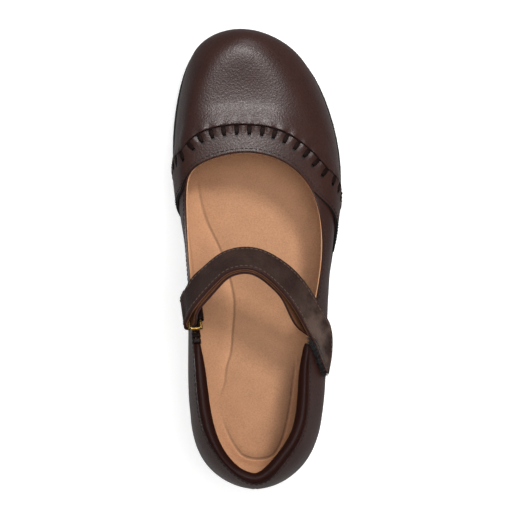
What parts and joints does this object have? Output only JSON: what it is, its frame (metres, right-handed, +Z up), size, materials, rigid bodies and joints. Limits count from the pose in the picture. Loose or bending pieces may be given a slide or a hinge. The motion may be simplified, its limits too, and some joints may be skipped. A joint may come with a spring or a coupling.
{
  "type": "mary jane shoe",
  "caption": "Round-toed low-heeled leather shoe with an open instep, a raised whip-stitched band at the throat, a padded collar and a turned-back strap.",
  "frame": {"origin": "on the floor, at the middle of the shoe's outline seen from above", "axes": "+Y towards the toe, +X towards the outer side of the right foot, +Z up"},
  "size_m": [0.0978, 0.2646, 0.0871],
  "materials": {
    "sole_rubber": "moulded black rubber, fine matt texture",
    "footbed_suede": "tan suede, soft and matt",
    "upper_leather": "dark brown burnished leather, soft gloss",
    "band_leather": "dark brown burnished leather with thong stitching",
    "collar_leather": "smooth soft lining leather over foam",
    "strap_leather": "dark brown leather, folded edges, topstitched",
    "ring_brass": "polished wire",
    "tab_leather": "dark brown leather",
    "tape_nylon": "black hook and loop tape"
  },
  "bodies": {
    "root": {"outsole": "sole_rubber", "insole": "footbed_suede", "upper": "upper_leather", "vamp_band": "band_leather", "collar": "collar_leather", "strap": "strap_leather", "ring": "ring_brass", "ring_tab": "tab_leather", "hook_tape": "tape_nylon", "loop_tape": "tape_nylon"}
  },
  "joints": []
}
